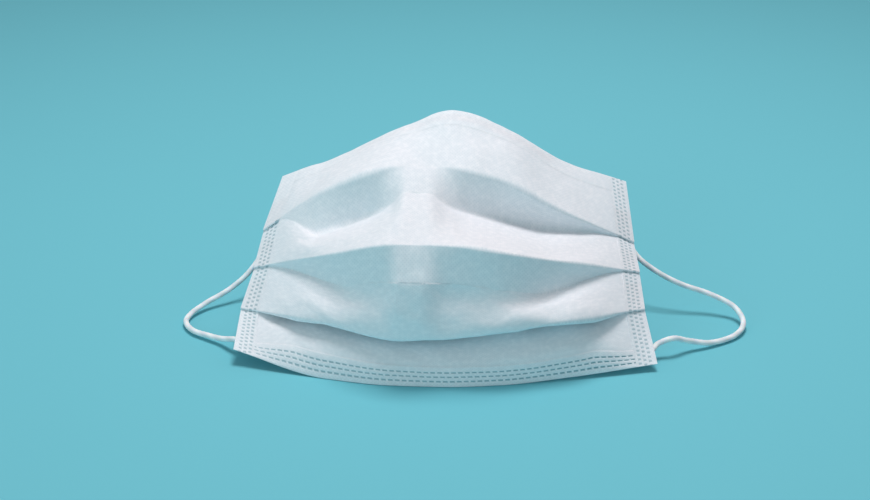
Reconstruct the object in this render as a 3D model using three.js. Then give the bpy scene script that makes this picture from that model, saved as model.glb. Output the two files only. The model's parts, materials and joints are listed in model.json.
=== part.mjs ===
// Surgical face mask: three forward-facing pleats, opened into a dome and standing on its lower hem.
// Millimetres, +Z up, +X to the viewer's right, the outer face towards -Y, resting on z = 0.
import * as THREE from "three";

// Driving sizes of the mask as it stands
const WIDTH = 176;            // spread of the lower hem, corner to corner
const REACH = 100;            // from the front of the hem back to the upper corners
const TALL = 85;              // height of the nose peak
const CLOTH = 1.0;            // wall of the pleated body
const GAP = 0.3;              // clearance between neighbouring pieces

// Cloth lengths down the mask, top edge to bottom edge
const TOP_PANEL = 30;
const UPPER_PANEL = 20;
const LOWER_PANEL = 20;
const BOTTOM_PANEL = 26;
const PLEAT = 14;             // depth of each pleat

// Hems, seals, nose wire and ear loops
const TOP_HEM = 8;
const BOTTOM_HEM = 12;
const HEM_CLOTH = 1.4;
const SEAL_SHARE = 0.1;       // share of the half width that each side seal takes
const SEAL_CLOTH = 2.6;
const SEAL_STEP = 1.4;        // step down from one welded pleat to the next
const WIRE_WIDTH = 3.4;
const WIRE_THICK = 0.6;
const CORD = 2.4;             // diameter of the ear loops
const LOOP_JOIN_INSET = 6.2;  // from the side edge in to where a loop is welded
const LOOP_LEAVE_INSET = 1.3; // from the side edge in to where a loop leaves its seal
const LOOP_JOIN_WALK = 5.5;   // from the corner along the seal to where a loop is welded
const LOOP_LEAVE_WALK = 8;    // from the corner along the seal to where a loop leaves

// Where the sections and the strips stand across the mask, as shares of the half width
const STATIONS = [-1, -0.55, -0.25, 0, 0.25, 0.6, 1];
const STRIP_STATIONS = [-1, -0.8, -0.42, -0.28, -0.2, -0.1, 0.02, 0.12, 0.6, 1];

// One row per fold line. across: the left and right ends as shares of half the width. At the stations,
// back: distance behind the hem as shares of REACH, and up: height as shares of TALL. At the strip
// stations, bulge: how far the panel below the line may stand out, strip: the way that the pleat's
// inner strip leaves the line, in degrees from straight back through up, and sag: how far the upper
// part of the panel below sinks in. gusset: share of the half width over which the pleat opens beside
// its left and its right seal.
const FLAT = [0, 0, 0, 0, 0, 0, 0, 0, 0, 0];
const TOP_EDGE = {
  across: [-0.78, 0.92],
  back: [1.0, 0.90, 0.84, 0.824, 0.82, 0.88, 0.99],
  up: [0.56, 0.765, 0.915, 1.0, 0.93, 0.725, 0.56],
  bulge: [2, 2, 2, 1.2, 0.4, 0.2, 0.2, 0.4, 1.5, 2],
  sag: FLAT,
  gusset: [0.12, 0.12],
};
const FIRST_FOLD = {
  across: [-0.84, 0.945],
  back: [0.73, 0.57, 0.533, 0.532, 0.54, 0.57, 0.73],
  up: [0.40, 0.74, 0.836, 0.835, 0.79, 0.61, 0.36],
  bulge: [1.5, 1.5, 1.5, 1, 0.3, 0.2, 0.2, 0.6, 1.5, 1.5],
  strip: [212, 224, 262, 232, 204, 203, 238, 262, 290, 312],
  sag: FLAT,
  gusset: [0.24, 0.62],
};
const SECOND_FOLD = {
  across: [-0.86, 0.955],
  back: [0.55, 0.25, 0.106, 0.093, 0.11, 0.26, 0.54],
  up: [0.29, 0.53, 0.652, 0.66, 0.625, 0.50, 0.30],
  bulge: [4, 4, 3, 2, 2, 2, 2, 3, 4, 4],
  strip: [305, 290, 267, 262, 250, 249, 258, 262, 273, 312],
  sag: [0, 1, 3, 3, 3, 3, 3, 3, 2, 0],
  gusset: [0.45, 0.45],
};
const THIRD_FOLD = {
  across: [-0.90, 0.965],
  back: [0.38, 0.13, 0.03, 0.01, 0.02, 0.09, 0.36],
  up: [0.165, 0.242, 0.23, 0.242, 0.27, 0.30, 0.205],
  bulge: [5, 5.5, 5.5, 5.5, 5.5, 5.5, 5.5, 5.5, 5.5, 5],
  strip: [372, 368, 366, 366, 366, 366, 366, 366, 370, 374],
  sag: FLAT,
  gusset: [0.2, 0.2],
};
const BOTTOM_EDGE = {
  across: [-0.90, 1.01],
  back: [0.16, 0.05, 0.005, 0, 0.02, 0.08, 0.16],
  up: [0.075, 0, 0, 0, 0, 0.012, 0.035],
};

// Ear loop routes after leaving the upper corner: shares of half the width, of REACH and of TALL
const LEFT_ROUTE = [
  [-0.83, 0.92, 0.38], [-0.86, 0.84, 0.24], [-0.93, 0.77, 0.14], [-1.02, 0.71, 0.075], [-1.12, 0.64, 0.038],
  [-1.18, 0.56, 0.022], [-1.19, 0.49, 0.019], [-1.14, 0.41, 0.019], [-1.06, 0.36, 0.024], [-0.99, 0.32, 0.032],
];
const RIGHT_ROUTE = [
  [0.89, 0.93, 0.42], [0.92, 0.84, 0.33], [0.97, 0.77, 0.26], [1.06, 0.73, 0.20], [1.18, 0.70, 0.147],
  [1.32, 0.68, 0.105], [1.43, 0.63, 0.065], [1.46, 0.54, 0.033], [1.41, 0.45, 0.019], [1.28, 0.37, 0.022],
  [1.17, 0.33, 0.055], [1.09, 0.29, 0.09], [1.02, 0.27, 0.07],
];

const ROWS = [TOP_EDGE, FIRST_FOLD, SECOND_FOLD, THIRD_FOLD, BOTTOM_EDGE];

// How the cloth behaves between its fold lines
const LEAST_STRIP = 0.8;      // what shows of a pleat's inner strip right at the seal
const SLACK_SOFTNESS = 0.5;   // softens where a panel's cloth stops being loose
const SLACK_EASE = 1.5;       // slack over which a bulge starts to stand out
const TURN_SOFTNESS = 3;      // degrees over which a fold fades out where its pleat is pulled flat
const LEAST_SQUEEZE = 0.6;    // thinnest that a wall gets, as a share, where the mask curves to its sides

// How finely each piece is cut
const COLUMNS = 30;
const WIRE_MARGIN = 6;        // columns of the hem that the wire leaves free at each end
const FOLD_STEPS = 3;
const PANEL_STEPS = 6;
const LAST_PANEL_STEPS = 10;
const STRIP_STEPS = 2;
const TOP_HEM_STEPS = 3;
const BEND_STEPS = 4;
const WIRE_STEPS = 2;
const BOTTOM_HEM_STEPS = 4;
const SEAL_COLUMNS = 4;
const SEAL_STEPS = 3;
const SEAL_RAMP = 0.03;       // share of a panel over which the seal steps down below a fold
const CORD_STEPS = 46;
const CORD_SIDES = 8;
const CLOSEST_ROWS = 0.05;
const rad = THREE.MathUtils.degToRad;

const WHITE = { color: 0xeef0f4, roughness: 0.9, metalness: 0 };
const WELD = { color: 0xe2e5ea, roughness: 0.6, metalness: 0 };
const ALUMINIUM = { color: 0xb9bcc0, roughness: 0.4, metalness: 0.9 };
const ELASTIC = { color: 0xf2f3f5, roughness: 0.85, metalness: 0 };

// A smooth curve through the stations that never swings past their values.
function smooth(stations, values, at) {
  const last = stations.length - 1;
  const slope = (i) => (values[i + 1] - values[i]) / (stations[i + 1] - stations[i]);
  const lean = (i) => {
    if (i === 0) return slope(0);
    if (i === last) return slope(last - 1);
    const before = slope(i - 1);
    const after = slope(i);
    return before * after <= 0 ? 0 : (2 * before * after) / (before + after);
  };
  let i = 0;
  while (i < last - 1 && at > stations[i + 1]) i += 1;
  const span = stations[i + 1] - stations[i];
  const t = (at - stations[i]) / span;
  const start = (1 + 2 * t) * (1 - t) ** 2 * values[i] + t * (1 - t) ** 2 * span * lean(i);
  return start + t * t * (3 - 2 * t) * values[i + 1] + t * t * (t - 1) * span * lean(i + 1);
}

// The place of a fold line at u, which runs from -1 at the left end to 1 at the right.
function place(row, u) {
  const half = WIDTH / 2;
  const x = half * THREE.MathUtils.lerp(row.across[0], row.across[1], (u + 1) / 2);
  return new THREE.Vector3(x, REACH * smooth(STATIONS, row.back, u), TALL * smooth(STATIONS, row.up, u));
}

const heading = (from, to) => {
  const angle = Math.atan2(to.z - from.z, to.y - from.y);
  return angle < 0 ? angle + 2 * Math.PI : angle;
};
const along = (angle) => new THREE.Vector3(0, Math.cos(angle), Math.sin(angle));
const outward = (angle) => new THREE.Vector3(0, Math.sin(angle), -Math.cos(angle));

// How much a section squeezes the cloth's thickness where the mask curves round to the sides.
function squeeze(row, u, angle) {
  const step = 0.02;
  const run = place(row, Math.min(1, u + step)).sub(place(row, Math.max(-1, u - step))).normalize();
  return Math.max(LEAST_SQUEEZE, Math.sqrt(1 - outward(angle).dot(run) ** 2));
}

// Keep a value from going below 0, with a soft bend of the given width.
const soften = (value, width) => width * Math.log1p(Math.exp(value / width));

// How far the pleat at a fold line is open at u, from 0 at the seals to 1.
function opening(row, u) {
  const share = THREE.MathUtils.clamp((1 - SEAL_SHARE - Math.abs(u)) / row.gusset[u < 0 ? 0 : 1], 0, 1);
  return (share + THREE.MathUtils.smoothstep(share, 0, 1)) / 2;
}

// Points of the panel below a fold line. Loose cloth bulges outward up to a limit, as a shallow
// parabola, which is longer than its gap by 8/3 of bulge squared over gap. A sag is a cubic that is
// deepest a third of the way down, where its unit curve t * (1 - t)^2 reaches 4 / 27.
function panel(row, u, from, to, cloth, steps) {
  const gap = Math.hypot(to.y - from.y, to.z - from.z);
  const slack = soften(cloth - gap, SLACK_SOFTNESS);
  const loose = (Math.sqrt((3 / 8) * gap) * slack) / Math.sqrt(slack + SLACK_EASE);
  const limit = opening(row, u) * smooth(STRIP_STATIONS, row.bulge, u);
  const bulge = limit > 0 ? limit * Math.tanh(loose / limit) : 0;
  const dip = (27 / 4) * opening(row, u) * smooth(STRIP_STATIONS, row.sag, u);
  const face = heading(from, to);
  const turn = (t) => Math.atan((4 * bulge * (1 - 2 * t) - dip * (1 - t) * (1 - 3 * t)) / gap);
  const points = [];
  for (let i = 1; i < steps; i += 1) {
    const t = i / steps;
    const stand = 4 * bulge * t * (1 - t) - dip * t * (1 - t) ** 2;
    points.push({ point: from.clone().lerp(to, t).addScaledVector(outward(face), stand), angle: face - turn(t) });
  }
  return { points, first: face - turn(0), last: face - turn(1) };
}

// A rounded fold from one heading to another. side is 1 for a ridge and -1 for a valley.
function fold(start, from, to, radius, side) {
  const turn = soften(side * (to - from), rad(TURN_SOFTNESS));
  const centre = start.clone().addScaledVector(outward(from), -side * radius);
  const points = [];
  for (let i = 0; i <= FOLD_STEPS; i += 1) {
    const angle = from + (side * turn * i) / FOLD_STEPS;
    points.push({ point: centre.clone().addScaledVector(outward(angle), side * radius), angle });
  }
  return points;
}

// One section of the mask from the top edge to the bottom edge, through all three pleats.
function section(u) {
  const lengths = [TOP_PANEL, UPPER_PANEL, LOWER_PANEL, BOTTOM_PANEL];
  const below = (k, from, steps) => {
    const cloth = lengths[k] + (k > 0 ? PLEAT * opening(ROWS[k], u) : 0);
    return panel(ROWS[k], u, from, place(ROWS[k + 1], u), cloth, steps);
  };
  const from = place(TOP_EDGE, u);
  let face = below(0, from, PANEL_STEPS);
  let path = [{ point: from, angle: face.first }];
  for (let k = 1; k <= 3; k += 1) {
    const row = ROWS[k];
    path = path.concat(face.points);
    const radius = (CLOTH + GAP) / 2 / squeeze(row, u, face.last);
    const crest = fold(place(row, u), face.last, rad(smooth(STRIP_STATIONS, row.strip, u)), radius, 1);
    path = path.concat(crest);
    const leave = crest[FOLD_STEPS];
    const depth = Math.max(LEAST_STRIP, PLEAT * opening(row, u));
    const valley = leave.point.clone().addScaledVector(along(leave.angle), depth);
    for (let i = 1; i < STRIP_STEPS; i += 1) {
      path.push({ point: leave.point.clone().lerp(valley, i / STRIP_STEPS), angle: leave.angle });
    }
    const steps = k === 3 ? LAST_PANEL_STEPS : PANEL_STEPS;
    let trough = fold(valley, leave.angle, heading(valley, place(ROWS[k + 1], u)), radius, -1);
    trough = fold(valley, leave.angle, below(k, trough[FOLD_STEPS].point, steps).first, radius, -1);
    path = path.concat(trough);
    face = below(k, trough[FOLD_STEPS].point, steps);
  }
  path = path.concat(face.points);
  path.push({ point: place(BOTTOM_EDGE, u), angle: face.last });
  return spreadAcross(path, u);
}

// Give each point of a section its place across the mask, taken from the nearest stretch of fold lines.
function spreadAcross(path, u) {
  const lines = ROWS.map((row) => place(row, u));
  const flat = lines.map((line) => new THREE.Vector2(line.y, line.z));
  let walked = 0;
  path.forEach((spot, i) => {
    if (i > 0) walked += Math.hypot(spot.point.y - path[i - 1].point.y, spot.point.z - path[i - 1].point.z);
    spot.walked = walked;
  });
  path.forEach((spot) => {
    const here = new THREE.Vector2(spot.point.y, spot.point.z);
    let nearest = Infinity;
    for (let k = 0; k < 4; k += 1) {
      const run = flat[k + 1].clone().sub(flat[k]);
      const t = THREE.MathUtils.clamp(here.clone().sub(flat[k]).dot(run) / run.lengthSq(), 0, 1);
      const away = here.distanceTo(flat[k].clone().addScaledVector(run, t));
      if (away < nearest) {
        nearest = away;
        spot.point.x = THREE.MathUtils.lerp(lines[k].x, lines[k + 1].x, t);
      }
    }
  });
  return path;
}

// The part of a section between two distances along the cloth, cut cleanly at both ends.
function stretch(path, start, end, steps) {
  const at = (walked) => {
    const i = Math.max(1, path.findIndex((spot) => spot.walked >= walked - 1e-6));
    const t = (walked - path[i - 1].walked) / (path[i].walked - path[i - 1].walked);
    const point = path[i - 1].point.clone().lerp(path[i].point, t);
    return { point, angle: THREE.MathUtils.lerp(path[i - 1].angle, path[i].angle, t) };
  };
  if (steps) return Array.from({ length: steps + 1 }, (_, i) => at(start + ((end - start) * i) / steps));
  const kept = path.filter((spot) => spot.walked > start + CLOSEST_ROWS && spot.walked < end - CLOSEST_ROWS);
  return [at(start), ...kept, at(end)];
}

const lengthOf = (path) => path[path.length - 1].walked;
const columns = (from, to, count) => Array.from({ length: count + 1 }, (_, i) => from + ((to - from) * i) / count);

// The two faces of a cloth piece, kept its full thickness apart where it curves round to the sides.
function faces(grid, thickness, shift = 0) {
  const outer = [];
  const inner = [];
  grid.forEach((line, i) => {
    const before = grid[Math.max(0, i - 1)];
    const after = grid[Math.min(grid.length - 1, i + 1)];
    const pick = (amount) => line.map((spot, j) => {
      const run = after[j].point.clone().sub(before[j].point).normalize();
      const normal = outward(spot.angle);
      const slant = Math.max(LEAST_SQUEEZE, Math.sqrt(1 - normal.dot(run) ** 2));
      return spot.point.clone().addScaledVector(normal, amount / slant);
    });
    outer.push(pick(shift + thickness / 2));
    inner.push(pick(shift - thickness / 2));
  });
  return { outer, inner };
}

// A closed solid between two matching grids of points.
function solid(outer, inner) {
  const wide = outer.length;
  const tall = outer[0].length;
  const corners = [...outer.flat(), ...inner.flat()];
  const front = (i, j) => i * tall + j;
  const back = (i, j) => wide * tall + i * tall + j;
  const index = [];
  const quad = (a, b, c, d) => index.push(a, b, c, a, c, d);
  for (let i = 0; i < wide - 1; i += 1) {
    for (let j = 0; j < tall - 1; j += 1) {
      quad(front(i, j), front(i, j + 1), front(i + 1, j + 1), front(i + 1, j));
      quad(back(i, j), back(i + 1, j), back(i + 1, j + 1), back(i, j + 1));
    }
    quad(front(i, 0), front(i + 1, 0), back(i + 1, 0), back(i, 0));
    quad(front(i, tall - 1), back(i, tall - 1), back(i + 1, tall - 1), front(i + 1, tall - 1));
  }
  for (let j = 0; j < tall - 1; j += 1) {
    quad(front(0, j), back(0, j), back(0, j + 1), front(0, j + 1));
    quad(front(wide - 1, j), front(wide - 1, j + 1), back(wide - 1, j + 1), back(wide - 1, j));
  }
  const geometry = new THREE.BufferGeometry();
  geometry.setAttribute("position", new THREE.Float32BufferAttribute(corners.flatMap((c) => c.toArray()), 3));
  geometry.setIndex(index);
  return geometry;
}

function piece(name, geometry, look) {
  geometry.computeVertexNormals();
  const mesh = new THREE.Mesh(geometry, new THREE.MeshStandardMaterial(look));
  mesh.name = name;
  return mesh;
}

const sealEdge = 1 - SEAL_SHARE;
const clearShare = GAP / (WIDTH / 2);
const bodyColumns = columns(-sealEdge + clearShare, sealEdge - clearShare, COLUMNS);

function pleatedBody() {
  const grid = bodyColumns.map((u) => {
    const path = section(u);
    const foot = path[path.length - 1 - LAST_PANEL_STEPS].walked;
    const pleats = stretch(path, TOP_HEM + GAP / 2, foot);
    const below = stretch(path, foot, lengthOf(path) - BOTTOM_HEM - GAP / 2, PANEL_STEPS);
    return [...pleats, ...below.slice(1)];
  });
  const { outer, inner } = faces(grid, CLOTH);
  return piece("pleated_body", solid(outer, inner), WHITE);
}

// The top hem is folded over to the inside, with room for the wire between its two legs.
function topHem() {
  const room = WIRE_THICK + 2 * GAP;
  const bend = (room + CLOTH) / 2;
  const grid = bodyColumns.map((u) => {
    const leg = stretch(section(u), bend, TOP_HEM - GAP / 2, TOP_HEM_STEPS).reverse();
    const over = leg[leg.length - 1];
    const radius = bend / squeeze(TOP_EDGE, u, over.angle);
    const line = leg.map((spot) => ({ point: spot.point, angle: spot.angle }));
    const centre = over.point.clone().addScaledVector(outward(over.angle), -radius);
    for (let i = 1; i <= BEND_STEPS; i += 1) {
      const angle = over.angle - (Math.PI * i) / BEND_STEPS;
      line.push({ point: centre.clone().addScaledVector(outward(angle), radius), angle });
    }
    for (let i = leg.length - 2; i >= 0; i -= 1) {
      const point = leg[i].point.clone().addScaledVector(outward(leg[i].angle), -2 * radius);
      line.push({ point, angle: leg[i].angle - Math.PI });
    }
    return line;
  });
  const { outer, inner } = faces(grid, CLOTH);
  return piece("top_hem", solid(inner, outer), WHITE);
}

function noseWire() {
  const room = WIRE_THICK + 2 * GAP;
  const bend = (room + CLOTH) / 2;
  const grid = bodyColumns.slice(WIRE_MARGIN, -WIRE_MARGIN).map((u) => {
    const start = bend + GAP;
    return stretch(section(u), start, start + WIRE_WIDTH, WIRE_STEPS);
  });
  const { outer, inner } = faces(grid, WIRE_THICK, -bend);
  return piece("nose_wire", solid(outer, inner), ALUMINIUM);
}

// The bottom hem ends in a level face, so that the mask can stand on it.
function bottomHem() {
  const grid = bodyColumns.map((u) => {
    const path = section(u);
    return stretch(path, lengthOf(path) - BOTTOM_HEM + GAP / 2, lengthOf(path), BOTTOM_HEM_STEPS);
  });
  const { outer, inner } = faces(grid, HEM_CLOTH);
  grid.forEach((line, i) => {
    const foot = line.length - 1;
    outer[i][foot].z = line[foot].point.z;
    inner[i][foot].z = line[foot].point.z;
  });
  return piece("bottom_hem", solid(outer, inner), WHITE);
}

// A side seal: the stacked pleats welded into one strip that steps down at each fold.
function sideSeal(name, from, to) {
  const fronts = [];
  const backs = [];
  columns(from, to, SEAL_COLUMNS).forEach((u) => {
    const lines = ROWS.map((row) => place(row, u));
    const front = [];
    const back = [];
    for (let k = 0; k < 4; k += 1) {
      const face = heading(lines[k], lines[k + 1]);
      const normal = outward(face).multiplyScalar(1 / squeeze(ROWS[k], u, face));
      for (let i = 0; i <= SEAL_STEPS; i += 1) {
        const t = k === 0 ? i / SEAL_STEPS : Math.max(SEAL_RAMP, i / SEAL_STEPS);
        const point = lines[k].clone().lerp(lines[k + 1], t);
        const drop = k === 0 ? 0 : SEAL_STEP * (1 - t);
        front.push(point.clone().addScaledVector(normal, CLOTH / 2 - drop));
        back.push(point.clone().addScaledVector(normal, CLOTH / 2 - SEAL_CLOTH));
      }
    }
    front[front.length - 1].z = lines[4].z;
    back[back.length - 1].z = lines[4].z;
    fronts.push(front);
    backs.push(back);
  });
  return piece(name, solid(fronts, backs), WELD);
}

// An ear loop from the inner side of the upper corner, over the table and back to the lower corner.
function earLoop(name, side, route) {
  const lift = SEAL_CLOTH - CLOTH / 2 + GAP + CORD / 2;
  const behind = (corner, next, share, walk) => {
    const u = side * share;
    const start = place(corner, u);
    const face = heading(start, place(next, u));
    const inside = outward(face + (corner === TOP_EDGE ? 0 : Math.PI));
    const slant = Math.min(squeeze(corner, u, face), squeeze(next, u, face));
    return start.addScaledVector(along(face), walk).addScaledVector(inside, -lift / slant);
  };
  const joined = 1 - LOOP_JOIN_INSET / (WIDTH / 2);
  const leaving = 1 - LOOP_LEAVE_INSET / (WIDTH / 2);
  const curve = new THREE.CatmullRomCurve3([
    behind(TOP_EDGE, FIRST_FOLD, joined, LOOP_JOIN_WALK),
    behind(TOP_EDGE, FIRST_FOLD, leaving, LOOP_LEAVE_WALK),
    ...route.map(([x, y, z]) => new THREE.Vector3((x * WIDTH) / 2, y * REACH, z * TALL)),
    behind(BOTTOM_EDGE, THIRD_FOLD, leaving, LOOP_LEAVE_WALK),
    behind(BOTTOM_EDGE, THIRD_FOLD, joined, LOOP_JOIN_WALK),
  ]);
  const shape = new THREE.Shape().absarc(0, 0, CORD / 2, 0, 2 * Math.PI, false);
  const tube = { steps: CORD_STEPS, curveSegments: CORD_SIDES, bevelEnabled: false, extrudePath: curve };
  return piece(name, new THREE.ExtrudeGeometry(shape, tube), ELASTIC);
}

// Put the box of the mask without its loops over the origin, on the ground.
function settle(group, loops) {
  const box = new THREE.Box3();
  group.children.filter((mesh) => !loops.includes(mesh.name)).forEach((mesh) => box.expandByObject(mesh));
  const middle = box.getCenter(new THREE.Vector3());
  group.children.forEach((mesh) => mesh.geometry.translate(-middle.x, -middle.y, -box.min.z));
}

const mask = new THREE.Group();
mask.name = "surgical_face_mask";
mask.add(pleatedBody());
mask.add(topHem());
mask.add(noseWire());
mask.add(bottomHem());
mask.add(sideSeal("left_side_seal", -1, -sealEdge));
mask.add(sideSeal("right_side_seal", sealEdge, 1));
mask.add(earLoop("left_ear_loop", -1, LEFT_ROUTE));
mask.add(earLoop("right_ear_loop", 1, RIGHT_ROUTE));
settle(mask, ["left_ear_loop", "right_ear_loop"]);

export default mask;
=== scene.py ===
"""Surgical face mask: pleated non-woven cloth with welded sides, hems and ear loops, on a plain table.

The cloth is one drape, worked out from five named fold lines, and each piece is a stretch of it.
Lengths are in millimetres in the maker's sizes and in metres in the scene.
"""
import json
import logging
import math
from dataclasses import dataclass
from enum import Enum
from typing import List, Optional, Sequence, Tuple, Union

import bpy
import numpy as np
from mathutils import Matrix, Vector

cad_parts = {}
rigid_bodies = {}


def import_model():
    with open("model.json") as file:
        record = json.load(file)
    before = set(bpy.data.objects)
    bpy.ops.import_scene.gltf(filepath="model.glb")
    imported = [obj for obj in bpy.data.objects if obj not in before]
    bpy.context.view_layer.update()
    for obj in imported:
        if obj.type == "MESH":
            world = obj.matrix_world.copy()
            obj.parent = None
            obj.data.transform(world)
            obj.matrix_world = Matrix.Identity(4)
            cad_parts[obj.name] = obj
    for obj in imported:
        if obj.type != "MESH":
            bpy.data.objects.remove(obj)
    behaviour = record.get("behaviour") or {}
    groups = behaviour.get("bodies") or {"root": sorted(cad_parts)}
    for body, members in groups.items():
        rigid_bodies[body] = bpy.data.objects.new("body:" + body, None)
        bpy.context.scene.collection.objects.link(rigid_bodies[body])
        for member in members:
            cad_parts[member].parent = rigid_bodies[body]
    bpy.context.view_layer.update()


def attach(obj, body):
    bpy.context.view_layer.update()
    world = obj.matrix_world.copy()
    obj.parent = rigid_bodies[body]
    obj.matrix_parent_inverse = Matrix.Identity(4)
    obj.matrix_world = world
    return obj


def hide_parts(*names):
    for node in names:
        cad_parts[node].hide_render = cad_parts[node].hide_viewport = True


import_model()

MM = 0.001
LOG = logging.getLogger("mask")
FLAT_CLOTH = "flat_cloth"
WELD_AND_SHADE_MARK = "weld_mark"

STATIONS = (-1.0, -0.55, -0.25, 0.0, 0.25, 0.6, 1.0)
STRIP_STATIONS = (-1.0, -0.8, -0.42, -0.28, -0.2, -0.1, 0.02, 0.12, 0.6, 1.0)
NO_SAG = (0.0,) * len(STRIP_STATIONS)

BULGE_RATE = 3 / 8      # a shallow arch is longer than its gap by 8/3 of its height squared over the gap
SAG_RATE = 27 / 4       # t * (1 - t) ** 2 is 4/27 at most, a third of the way down
LEAST_BULGE = 1e-3      # keeps the division by the bulge's limit sound at the seals
LEAST_RUN = 1e-9        # keeps the division by a step's length sound
SMOOTH_ANGLE = math.radians(50)
CURVE_STEPS = 4000      # places at which an ear loop's curve is walked

Colour = Tuple[float, float, float, float]
Value = Union[float, bpy.types.NodeSocket]


class Look(Enum):
    """The finishes that a piece of this mask can have."""

    CLOTH = "nonwoven"
    WELD = "weld"
    WIRE = "wire"
    CORD = "elastic"


@dataclass(frozen=True)
class FoldLine:
    """One line across the mask, from the left end to the right one.

    across holds the two ends as shares of half the width, back and up hold the distance back and the
    height at the stations. At the strip stations, bulge is the furthest that the panel below stands
    out, strip the heading of the pleat's inner strip in degrees, and sag how far the panel below sinks
    in. round is the radius of the fold, and gusset the share of the half width over which the pleat
    opens beside its left and its right seal.
    """

    across: Tuple[float, float]
    back: Tuple[float, ...]
    up: Tuple[float, ...]
    bulge: Tuple[float, ...] = ()
    strip: Tuple[float, ...] = ()
    sag: Tuple[float, ...] = NO_SAG
    round: float = 0.9
    gusset: Tuple[float, float] = (0.12, 0.12)


TOP_EDGE = FoldLine(
    (-0.78, 0.92), (1.0, 0.90, 0.84, 0.824, 0.82, 0.88, 0.99), (0.56, 0.765, 0.915, 1.0, 0.93, 0.725, 0.56),
    bulge=(2, 2, 2, 1.2, 0.4, 0.2, 0.2, 0.4, 1.5, 2),
)
FIRST_FOLD = FoldLine(
    (-0.84, 0.945), (0.73, 0.57, 0.533, 0.532, 0.54, 0.57, 0.73), (0.40, 0.74, 0.836, 0.835, 0.79, 0.61, 0.36),
    bulge=(1.5, 1.5, 1.5, 1, 0.3, 0.2, 0.2, 0.6, 1.5, 1.5),
    strip=(212, 224, 262, 232, 204, 203, 238, 262, 290, 312), round=2.4, gusset=(0.24, 0.62),
)
SECOND_FOLD = FoldLine(
    (-0.86, 0.955), (0.55, 0.25, 0.106, 0.093, 0.11, 0.26, 0.54), (0.29, 0.53, 0.652, 0.66, 0.625, 0.50, 0.30),
    bulge=(4, 4, 3, 2, 2, 2, 2, 3, 4, 4),
    strip=(305, 290, 267, 262, 242, 241, 258, 262, 273, 312), sag=(0, 1, 3, 2, 0.5, 0.5, 2, 3, 2, 0),
    round=0.9, gusset=(0.45, 0.45),
)
THIRD_FOLD = FoldLine(
    (-0.90, 0.965), (0.38, 0.13, 0.03, 0.01, 0.02, 0.09, 0.36), (0.165, 0.242, 0.23, 0.242, 0.27, 0.30, 0.205),
    bulge=(7, 7.5, 7.5, 7.5, 7, 7, 7, 7, 7.5, 7), strip=(362, 356, 350, 350, 350, 350, 350, 350, 354, 362),
    round=1.3, gusset=(0.2, 0.2),
)
BOTTOM_EDGE = FoldLine(
    (-0.90, 1.01), (0.16, 0.05, 0.005, 0.0, 0.02, 0.08, 0.16), (0.075, 0.0, 0.0, 0.0, 0.0, 0.012, 0.035),
)
LINES = (TOP_EDGE, FIRST_FOLD, SECOND_FOLD, THIRD_FOLD, BOTTOM_EDGE)


def smooth(stations: Sequence[float], values: Sequence[float], at: np.ndarray) -> np.ndarray:
    """Read a smooth curve through the stations that never swings past their values.

    Args:
        stations: where the values stand, rising.
        values: one value for each station.
        at: where to read the curve.

    Returns:
        The curve's values, one for each place.
    """
    x = np.asarray(stations, float)
    v = np.asarray(values, float)
    slope = np.diff(v) / np.diff(x)
    lean = np.zeros(len(x))
    lean[0], lean[-1] = slope[0], slope[-1]
    before, after = slope[:-1], slope[1:]
    same = before * after > 0
    lean[1:-1][same] = 2 * before[same] * after[same] / (before[same] + after[same])
    i = np.clip(np.searchsorted(x, at) - 1, 0, len(x) - 2)
    span = x[i + 1] - x[i]
    t = (at - x[i]) / span
    start = (1 + 2 * t) * (1 - t) ** 2 * v[i] + t * (1 - t) ** 2 * span * lean[i]
    return start + t * t * (3 - 2 * t) * v[i + 1] + t * t * (t - 1) * span * lean[i + 1]


def ease(t: np.ndarray) -> np.ndarray:
    """Ease a share from 0 to 1 with soft ends."""
    t = np.clip(t, 0.0, 1.0)
    return t * t * (3 - 2 * t)


def soften(value: np.ndarray, width: float) -> np.ndarray:
    """Keep a value from going below 0, with a soft bend of the given width."""
    return width * np.logaddexp(0, value / width)


def along(angle: np.ndarray) -> np.ndarray:
    """Return the back and up parts of a heading."""
    return np.stack([np.cos(angle), np.sin(angle)], -1)


def outward(angle: np.ndarray) -> np.ndarray:
    """Return the back and up parts of the way out of the cloth's outer face."""
    return np.stack([np.sin(angle), -np.cos(angle)], -1)


def heading(start: np.ndarray, end: np.ndarray) -> np.ndarray:
    """Return the heading from one place to another, from 0 to a full turn."""
    run = end - start
    return np.arctan2(run[..., 1], run[..., 0]) % (2 * math.pi)


@dataclass
class Drape:
    """A grid of cloth points: columns across the mask, rows down the cloth.

    across and down are the points' places on the flat cloth. rows names the stretches of the hems and
    the body, and the row of each ridge.
    """

    points: np.ndarray
    normals: np.ndarray
    across: np.ndarray
    down: np.ndarray
    rows: dict


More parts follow.
